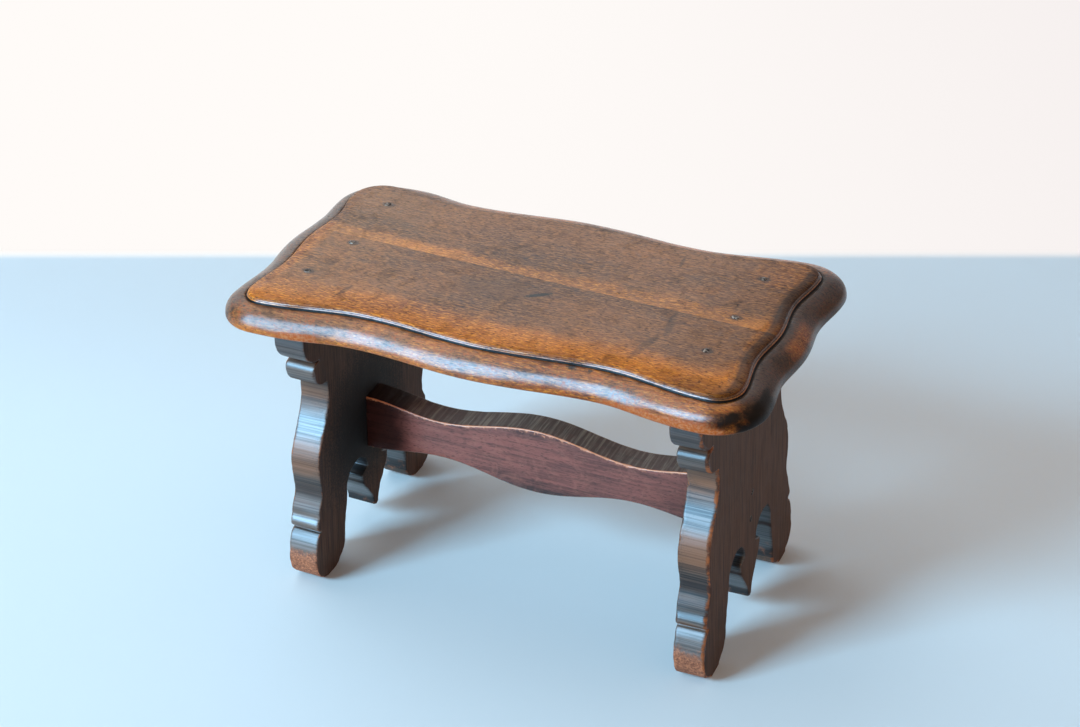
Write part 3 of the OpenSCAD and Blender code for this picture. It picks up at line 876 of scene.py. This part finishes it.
# Trestles: outline as shares of half the foot and of the height under the top
trestleShape = {
    "thickness": 0.019, "spacing": 0.24, "setback": 0.005, "lean": 1.5,
    "halfFoot": 0.0778, "height": 0.1832, "soleInner": 0.733, "soleOuter": 0.81,
    "toe": (1, 0.0874), "shoulder": (0.906, 0.196), "beadFoot": (0.906, 0.204),
    "beadFront": (0.951, 0.227), "beadHead": (0.922, 0.2615), "waist": (0.861, 0.333),
    "belly": (0.893, 0.443), "throat": (0.688, 0.674), "neck": (0.695, 0.733),
    "dropFront": (0.893, 0.812), "dropHead": (0.8, 0.836), "notch": (0.8, 0.8395),
    "blockFront": (1.025, 0.936), "legInner": (0.531, 0.0874), "archSpring": (0.468, 0.2513),
    "archCrown": (0.296, 0.3219), "pendantNeck": (0.122, 0.2543), "pendantCusp": (0.218, 0.2374),
    "pendantTip": (0.032, 0.0705),
    "spacingAlong": 0.0009, "arris": 0.0007, "chips": 0.00128, "worseArris": 2.6, "mostArris": 0.0022,
    "endArris": 0.0003, "facets": 0.00022, "coreRows": 7, "coreShare": 0.62,
    # rows across an arris: depth as a share of it, share that is cut off, wear
    "arrisRows": [(0.0, 1.0, 0.0), (0.3, 0.3, 1.0), (1.0, 0.0, 0.85), (2.4, 0.0, 0.1)],
    # cut edges by height: polish from 0 to 1, then a tone, brown above 0 and painted shade below it, in the
    # waist, under the drop and under the top
    "patina": [
        (0, 0.1, 0), (0.085, 0.15, 0), (0.1, 0.95, 0), (0.15, 0.9, 0), (0.17, 0.8, 0),
        (0.186, 0.65, 0), (0.191, 0.05, 0.8), (0.2, 0.1, 0.5), (0.209, 1, 0), (0.245, 1, 0),
        (0.262, 0.45, 0), (0.285, 0.3, 0.3), (0.315, 0.15, -0.5), (0.35, 0.25, -0.4), (0.38, 0.35, 0),
        (0.405, 0.4, 0.5), (0.42, 0.4, 0.6), (0.45, 0.35, 0.7), (0.48, 0.35, 0.8), (0.505, 0.6, 1),
        (0.53, 0.95, 0.2), (0.55, 1, 0), (0.58, 0.95, 0), (0.61, 0.6, 0.3), (0.65, 0.45, 0.8),
        (0.68, 0.35, 0.5), (0.71, 0.2, 0), (0.75, 0.2, -0.6), (0.775, 0.85, -0.2), (0.81, 1, 0),
        (0.83, 0.9, 0.3), (0.845, 0.6, -0.5), (0.94, 0.6, -1), (1, 0.4, -1)],
}


def ogeePoints(p, q, n=14):
    return [(eased(p[0], q[0], i / n), p[1] + (q[1] - p[1]) * i / n) for i in range(1, n + 1)]


def trestleOutline(shape):
    half, height = shape["halfFoot"], shape["height"]
    m = {k: (v[0] * half, v[1] * height) for k, v in shape.items() if isinstance(v, tuple)}
    outerSole, innerSole = shape["soleOuter"] * half, shape["soleInner"] * half
    toe, shoulder, notch, block = m["toe"], m["shoulder"], m["notch"], m["blockFront"]
    blockReach = (block[0] - notch[0] * 0.97, block[1] - notch[1])
    neck, drop = m["neck"], m["dropFront"]
    outer = arcPoints((outerSole, toe[1]), (toe[0] - outerSole, toe[1]), -90, 0)
    outer += arcPoints((shoulder[0], toe[1]), (toe[0] - shoulder[0], shoulder[1] - toe[1]), 10, 90)
    foot, front = m["beadFoot"], m["beadFront"]
    outer += arcPoints((foot[0], front[1]), (front[0] - foot[0], front[1] - foot[1]), -90, 0, 6)
    outer += ogeePoints(front, m["beadHead"], 6)
    outer += ogeePoints(m["beadHead"], m["waist"])
    outer += ogeePoints(m["waist"], m["belly"])
    outer += ogeePoints(m["belly"], m["throat"], 20)
    outer += ogeePoints(m["throat"], neck, 6)
    outer += arcPoints((neck[0], drop[1]), (drop[0] - neck[0], drop[1] - neck[1]), -90, 0)
    head = m["dropHead"]
    outer += arcPoints((head[0], drop[1]), (drop[0] - head[0], head[1] - drop[1]), 12, 90, 8)
    outer += [notch]
    outer += arcPoints((block[0] - blockReach[0], block[1]), blockReach, -75, 0)
    outer += [(block[0], height)]
    spring, crown, pend = m["archSpring"], m["archCrown"], m["pendantNeck"]
    leg, cusp, tip = m["legInner"], m["pendantCusp"], m["pendantTip"]
    inner = [(0, tip[1] - tip[0] / 2), tip] + ogeePoints(tip, cusp) + [pend]
    inner += arcPoints(((spring[0] + pend[0]) / 2, spring[1]),
                       ((spring[0] - pend[0]) / 2, crown[1] - spring[1]), 175, 0, 20)
    inner += ogeePoints(spring, leg)
    inner += arcPoints((innerSole, toe[1]), (innerSole - leg[0], toe[1]), 190, 270)
    return inner + [(innerSole, 0), (outerSole, 0)] + outer


def evenly(path, gap):
    made = [Vector(path[0])]
    for p, q in zip(path, path[1:]):
        a, b = Vector(p), Vector(q)
        length = (b - a).length
        if length < 1e-6:
            continue
        count = max(1, round(length / gap))
        for i in range(1, count + 1):
            made.append(a.lerp(b, i / count))
    thinned = [made[0]]
    for p in made[1:]:
        if (p - thinned[-1]).length > gap * 0.35:
            thinned.append(p)
    return thinned


def patinaAt(shape, share):
    table = shape["patina"]
    for a, b in zip(table, table[1:]):
        if share <= b[0]:
            t = min(1, max(0, (share - a[0]) / (b[0] - a[0])))
            return a[1] + (b[1] - a[1]) * t, a[2] + (b[2] - a[2]) * t
    return table[-1][1:]


def makeTrestle(name, shape, side, node):
    half = evenly(trestleOutline(shape), shape["spacingAlong"])
    outline = [Vector((p.x, p.y)) for p in half] + [Vector((-p.x, p.y)) for p in reversed(half[1:])]
    n = len(outline)
    lean, thick, top = math.radians(shape["lean"]), shape["thickness"], shape["height"]
    isRight = side > 0
    out = []
    for i in range(n):
        d = (outline[(i + 1) % n] - outline[i - 1]).normalized()
        out.append(Vector((d.y, -d.x)))
    points, faces, flat, rings = [], [], [], []
    carried = {label: [] for label in ("wear", "cut", "footWear", "inner", "gleam", "toneAndShade")}
    count = shape["coreRows"]
    rows = [(-1, *row) for row in shape["arrisRows"]]
    rows += [(0, k / (count + 1), 0.0, 0.0) for k in range(1, count + 1)]
    rows += [(1, *row) for row in reversed(shape["arrisRows"])]
    for hand, depth, cutOff, wear in rows:  # from the left face through the edge to the right face
        isWorse = isRight and hand > 0
        ring = []
        for p, o in zip(outline, out):
            isInner = abs(p.x) < shape["legInner"][0] * shape["halfFoot"] + 0.001 and p.y < 0.34 * top
            isEnd = p.y < 0.0004 or p.y > top - 0.0012
            chip = ripple(p.x, p.y, side, 0.006, 3.0 if hand < 0 else 8.0)
            ragged = shape["arris"] + shape["chips"] * max(0, chip)
            if isWorse and not isInner:
                ragged *= shape["worseArris"] * (0.75 + 0.5 * ripple(p.y, p.x, 0, 0.02, 2.0))
            ragged = shape["endArris"] if isEnd else min(ragged, shape["mostArris"])
            u = hand * max(thick * 0.34, thick / 2 - ragged * depth)
            if hand == 0:
                u = (depth - 0.5) * thick * shape["coreShare"]
            waver = shape["facets"] * ripple(u * 0.05, p.x, p.y, 0.0042, 1.5 * side)
            waver += shape["facets"] * 0.6 * ripple(u * 0.25, p.x, p.y, 0.012, 4.0 * side)
            if isEnd or depth == 0:
                waver = 0.0
            q = p - o * (cutOff * ragged - waver)
            z = min(max(q.y, 0.0), top)
            x = shape["spacing"] / 2 + u * math.cos(lean) - (z - top) * math.tan(lean)
            z += u * math.sin(lean) if 0.001 < z < top - 0.001 else 0.0
            points.append((side * x, shape["setback"] + q.x, z))
            share = z / top - 0.01 + 0.012 * ripple(p.x, u, z, 0.012, 5.0 * side)
            # the height table gives polish, brown where its second value is above 0, and painted shade where
            # it is below
            polish, toneAndShade = patinaAt(shape, share)
            if isRight:  # this side faces the window less
                polish *= (0.6 + 0.35 * between(0.33, 0.29, share) + 0.2 * between(0.49, 0.53, share)
                           + 0.15 * between(0.7, 0.76, share))
            onEdge = 1.0 if depth > 0 else 0.0
            amount = (0.6 if isWorse else 0.36) * (0.35 if isInner else 1.0) * 1.15
            footWear = between(0.032, 0.014, z) * (1 if abs(q.x) > 0.05 else 0.3)
            # the inner edges of the legs, arch and pendant carry painted shade
            for label, value in (("wear", 0.0 if isEnd else wear * amount), ("cut", onEdge), ("toneAndShade", toneAndShade),
                                 ("inner", 0.85 if isInner else 0.0), ("gleam", polish * onEdge),
                                 ("footWear", footWear * onEdge)):
                carried[label].append(value)
            ring.append(len(points) - 1)
        rings.append(ring)
    joinRings(faces, rings)
    closeEnds(faces, flat, rings)
    return addPiece(name, points, faces, flat, carried, trestleWood, node)


makeTrestle("leftTrestle", trestleShape, -1, "trestle_left")
makeTrestle("rightTrestle", trestleShape, 1, "trestle_right")
print("trestles made")


# Stretcher between the trestles, crown and belly at its middle
stretcherShape = {
    "thickness": 0.018, "top": 0.100, "bottom": 0.056, "topHollow": 0.009, "bottomHollow": 0.0095,
    "topFlare": 0.006, "bottomFlare": 0.005, "hollowShare": 0.56, "nailHeight": 0.07575, "clearance": 0.00003,
    "steps": 230, "arris": 0.00075, "chips": 0.0008, "lowArris": 0.0014, "rough": 0.0003, "bow": 0.00015,
    # across and down as shares of the arris, wear and cut
    "frontArris": ((0, 1, 0.45, 0), (0.18, 0.35, 1.0, 0.2), (0.6, 0.08, 0.9, 0.5), (1.3, 0, 0, 1.0)),
}


def makeStretcher(name, shape, trestle):
    lean = math.tan(math.radians(trestle["lean"]))
    face = trestle["spacing"] / 2 - trestle["thickness"] / 2 / math.cos(math.atan(lean))
    inner = trestle["spacing"] / 2 - trestle["thickness"] / 2
    half = inner + (trestle["height"] - shape["nailHeight"]) * lean

    def edgeLine(crown, hollow, flare):
        def edge(x):
            s, at = min(abs(x), half), half * shape["hollowShare"]
            return eased(crown, hollow, s / at) if s < at else eased(hollow, flare, (s - at) / (half - at))

        line = []
        for i in range(shape["steps"] + 1):
            share = 2 * i / shape["steps"] - 1
            x = share * (face + (trestle["height"] - edge(share * half)) * lean - shape["clearance"])
            line.append((x, edge(x)))
        return line

    topHollow, bottomHollow = shape["top"] - shape["topHollow"], shape["bottom"] + shape["bottomHollow"]
    topLine = edgeLine(shape["top"], topHollow, topHollow + shape["topFlare"])
    bottomLine = edgeLine(shape["bottom"], bottomHollow, bottomHollow - shape["bottomFlare"])
    # Each cross-section is a loop of corners with rounded arrises
    thick, small = shape["thickness"] / 2, shape["lowArris"]
    points, faces, flat, loops = [], [], [], []
    carried = {"wear": [], "cut": [], "dark": []}
    for (x, topZ), (xLow, lowZ) in zip(topLine, bottomLine):
        front = shape["arris"] + shape["chips"] * max(0, ripple(x, 0, 0, 0.007, 1.0))
        back = shape["arris"] + shape["chips"] * max(0, ripple(x, 0, 0, 0.009, 6.0))
        rough = shape["rough"] * ripple(x, 0, 0, 0.004, 9.0)
        sideLow = lowZ + 0.0012
        # place across, height, wear, cut and share of the way from the bottom line's x to the top line's
        spots = [(-thick, sideLow + (topZ - front - sideLow) * k / 8, 0.0, 0.0, k / 8) for k in range(8)]
        for far, fall, wear, cut in shape["frontArris"]:
            spots.append((-thick + front * far, topZ - front * fall, wear, cut, 1.0))
        for k in range(1, 6):
            y = -thick + front * 1.3 + (2 * thick - front * 1.3 - back) * k / 5
            bump = rough + 0.00035 * ripple(x * 0.6, y, 0, 0.003, 2.0) if k < 5 else 0
            spots.append((y, topZ + bump, 0.0, 1.0, 1.0))
        backTop = topZ - back
        spots += [(thick - back * 0.3, topZ - back * 0.12, 0.25, 0.6, 1.0), (thick, backTop, 0.1, 0.0, 1.0)]
        spots += [(thick, backTop + (sideLow - backTop) * k / 7, 0.0, 0.0, 1 - k / 7) for k in range(1, 8)]
        spots += [(thick - 0.0004, lowZ + 0.0003, 0.3, 0.6, 0.0), (thick - small, lowZ, 0.0, 1.0, 0.0),
                  (0.0, lowZ + rough, 0.0, 1.0, 0.0), (small - thick, lowZ, 0.0, 1.0, 0.0),
                  (0.0004 - thick, lowZ + 0.0003, 0.45, 0.6, 0.0)]
        loop = []
        for y, z, wear, cut, up in spots:
            px = xLow + (x - xLow) * up
            bow = shape["bow"] * ripple(px, y, z, 0.03, 3.0) if abs(px) < half else 0
            points.append((px, trestle["setback"] + y + bow, z))
            # painted shade near the trestles, deepest at the left end
            dark = 1.16 * between(-0.073, -0.105, px) + 0.36 * between(0.03, 0.1, px)
            for label, value in (("wear", wear), ("cut", cut), ("dark", dark)):
                carried[label].append(value)
            loop.append(len(points) - 1)
        loops.append(loop)
    joinRings(faces, loops)
    closeEnds(faces, flat, loops)
    return addPiece(name, points, faces, flat, carried, stretcherWood, "stretcher")


makeStretcher("shapedStretcher", stretcherShape, trestleShape)
print("stretcher made")


# Hand-made nails: uneven low heads on tapering shanks
nailShape = {
    "head": 0.0041, "headHeight": 0.001, "proud": 0.00028, "shank": 0.002, "length": 0.05, "point": 0.004,
    "tipRadius": 0.00015, "sides": 18, "lopsided": (0.05, 0.14), "tilt": 0.09, "uneven": 0.00006,
    "dome": ((0.25, 1.05), (0.62, 1), (0.9, 0.55), (1.0, 0)),
}


def makeNails(name, shape, places, node, seed):
    random.seed(seed)
    points, faces = [], []
    deep, radius = -shape["headHeight"], shape["shank"] / 2
    # Share of the head's radius and height, then radius and height of the shank
    head = [(share, shape["proud"] * rise) for share, rise in shape["dome"]] + [(1.0, deep)]
    shank = [(radius, deep), (radius, shape["point"] - shape["length"]),
             (shape["tipRadius"], -shape["length"])]
    for matrix in places:
        lopsided = random.uniform(*shape["lopsided"])
        turn = random.uniform(0, 6.28)
        tilt = Matrix.Rotation(random.uniform(-shape["tilt"], shape["tilt"]), 4, "X")
        tilt = tilt @ Matrix.Rotation(random.uniform(-shape["tilt"], shape["tilt"]), 4, "Y")
        rings = []
        for row, (size, z) in enumerate(head + shank):
            isHead = row < len(head)
            ring = []
            for k in range(shape["sides"]):
                a = 2 * math.pi * k / shape["sides"]
                r, lift = size, 0
                if isHead:
                    uneven = lopsided * math.cos(2 * (a - turn)) + 0.05 * math.sin(5 * a + turn)
                    r = shape["head"] / 2 * size * (1 + uneven)
                    lift = shape["uneven"] * math.sin(3 * a + turn) if z > 0 else 0
                p = Vector((r * math.cos(a), r * math.sin(a), z + lift))
                points.append(tuple(matrix @ (tilt @ p if z >= 0 else p)))
                ring.append(len(points) - 1)
            rings.append(ring)
        joinRings(faces, rings)
        faces += [tuple(rings[0]), tuple(reversed(rings[-1]))]
    return addPiece(name, points, faces, [], {}, nailIron, node)


def topNailPlaces(hand):
    return [Matrix.Translation((x, y, topShape["top"])) for x, y in nailPlaces if x * hand > 0]


def stretcherNailPlaces(hand, trestle, offsets):
    lean = math.radians(trestle["lean"])
    half = trestle["thickness"] / 2
    made = []
    for dy, height in offsets:
        along = (height - trestle["height"]) / math.cos(lean)
        x = trestle["spacing"] / 2 + half * math.cos(lean) - along * math.sin(lean)
        z = trestle["height"] + half * math.sin(lean) + along * math.cos(lean)
        turn = Matrix.Rotation(hand * (math.pi / 2 - lean), 4, "Y")
        made.append(Matrix.Translation((hand * x, trestle["setback"] + dy, z)) @ turn)
    return made


leftPlaces = stretcherNailPlaces(-1, trestleShape, ((-0.0014, 0.08425), (0.0009, 0.06725)))
rightPlaces = stretcherNailPlaces(1, trestleShape, ((0.0026, 0.08425), (0.0, 0.06725)))
makeNails("topNailsLeft", nailShape, topNailPlaces(-1), "top_nails_left", 3)
makeNails("topNailsRight", nailShape, topNailPlaces(1), "top_nails_right", 5)
makeNails("stretcherNailsLeft", nailShape, leftPlaces, "stretcher_nails_left", 8)
makeNails("stretcherNailsRight", nailShape, rightPlaces, "stretcher_nails_right", 9)
print("nails made")


# Floor and backdrop in one sheet; the far edge of the floor crosses the view
stageLook = {
    "front": -3.0, "bendAt": 1.2, "bendRadius": 0.8, "wallTop": 3.2, "halfWidth": 4.0,
    "edge": 0.398, "turn": 22.3, "blur": 0.008, "shine": 0.45,
    "floor": "dae4ec", "floorFar": "cfd7de", "wall": "fffbf8", "wallRight": "f5efee",
}


def makeStage(look):
    mesh = bpy.data.meshes.new("floorSheet")
    r = look["bendRadius"]
    bend = arcPoints((look["bendAt"], r), (r, r), -90, 0, 12)
    profile = [(look["front"], 0.0)] + bend + [(look["bendAt"] + r, look["wallTop"])]
    points = [(x, y, z) for y, z in profile for x in (-look["halfWidth"], look["halfWidth"])]
    faces = [(2 * i, 2 * i + 1, 2 * i + 3, 2 * i + 2) for i in range(len(profile) - 1)]
    mesh.from_pydata(points, [], faces)
    mesh.polygons.foreach_set("use_smooth", [True] * len(faces))
    sheet = bpy.data.objects.new("floorSheet", mesh)
    bpy.context.scene.collection.objects.link(sheet)
    sheet.rotation_euler = (0, 0, math.radians(look["turn"]))
    material, tree, shader, place = newMaterial("floorPaint")
    paints = paintsOf(look)
    parts = addNode(tree, "ShaderNodeSeparateXYZ", {0: place}).outputs
    far = stepUp(tree, parts[1], look["edge"] - look["blur"], look["edge"] + look["blur"])
    wall = mixColour(tree, stepUp(tree, parts[0], -0.2, 0.7), paints["wall"], paints["wallRight"])
    floor = mixColour(tree, stepUp(tree, parts[1], 0.1, 0.39), paints["floor"], paints["floorFar"])
    tree.links.new(mixColour(tree, far, floor, wall), shader.inputs["Base Color"])
    shader.inputs["Specular IOR Level"].default_value = 0.2
    shader.inputs["Roughness"].default_value = 0.7
    # The wall shows its own colour to the camera, and part of it in the gloss of the wood
    rays = addNode(tree, "ShaderNodeLightPath").outputs
    mirrored = times(tree, minus(tree, 1.0, stepUp(tree, parts[0], 0.3, 1.1)), look["shine"])
    seen = mathNode(tree, "MAXIMUM", rays["Is Camera Ray"], times(tree, rays["Is Glossy Ray"], mirrored))
    seen = mathNode(tree, "MAXIMUM", seen, rays["Is Transmission Ray"])
    glow = addNode(tree, "ShaderNodeEmission", {"Color": wall, "Strength": 1.0})
    both = addNode(tree, "ShaderNodeMixShader",
                   {0: times(tree, seen, far), 1: shader.outputs[0], 2: glow.outputs[0]})
    output = [x for x in tree.nodes if x.type == "OUTPUT_MATERIAL"][0]
    tree.links.new(both.outputs[0], output.inputs[0])
    mesh.materials.append(material)


makeStage(stageLook)


# One cool window at the front left, its shine on the gloss apart from its light,
# a small fill from above and a dim warm room all round
lightPlan = {
    "window": {"azimuth": -38, "elevation": 33, "distance": 4.2, "size": (1.4, 1.4), "power": 206,
               "colour": (0.43, 0.775, 1.0), "seen": "diffuse"},
    "shine": {"azimuth": -29, "elevation": 34, "distance": 2.6, "size": (1.5, 3.2), "power": 219,
              "colour": (0.3, 0.66, 1.0), "seen": "glossy"},
    "fill": {"azimuth": -100, "elevation": 62, "distance": 1.8, "size": (1.2, 1.2), "power": 6.5,
             "colour": (0.85, 0.95, 1.0), "seen": "both"},
}
roomPlan = {"aim": 0.1, "colour": (1.0, 0.75, 0.59), "strength": 0.44, "seen": (0.80, 0.82, 0.84)}


def addLights(plan, room):
    for name, given in plan.items():
        data = bpy.data.lights.new(name, "AREA")
        data.shape = "RECTANGLE"
        data.size, data.size_y = given["size"]
        data.energy = given["power"]
        data.color = given["colour"]
        lamp = bpy.data.objects.new(name, data)
        bpy.context.scene.collection.objects.link(lamp)
        away = towards(given["azimuth"], given["elevation"])
        lamp.location = away * given["distance"] + Vector((0, 0, room["aim"]))
        lamp.rotation_mode = "QUATERNION"
        lamp.rotation_quaternion = away.to_track_quat("Z", "Y")
        lamp.visible_glossy = given["seen"] != "diffuse"
        lamp.visible_diffuse = given["seen"] != "glossy"
    world = bpy.data.worlds.new("room")
    world.use_nodes = True
    tree = world.node_tree
    background = tree.nodes["Background"]
    background.inputs[0].default_value = (*room["colour"], 1)
    background.inputs[1].default_value = room["strength"]
    sky = addNode(tree, "ShaderNodeBackground", {"Color": (*room["seen"], 1), "Strength": 1.0})
    rays = addNode(tree, "ShaderNodeLightPath").outputs
    both = addNode(tree, "ShaderNodeMixShader",
                   {0: rays["Is Camera Ray"], 1: background.outputs[0], 2: sky.outputs[0]})
    tree.links.new(both.outputs[0], tree.nodes["World Output"].inputs[0])
    bpy.context.scene.world = world


addLights(lightPlan, roomPlan)
bpy.context.scene.view_settings.view_transform = "Standard"
print("stage and lights set")
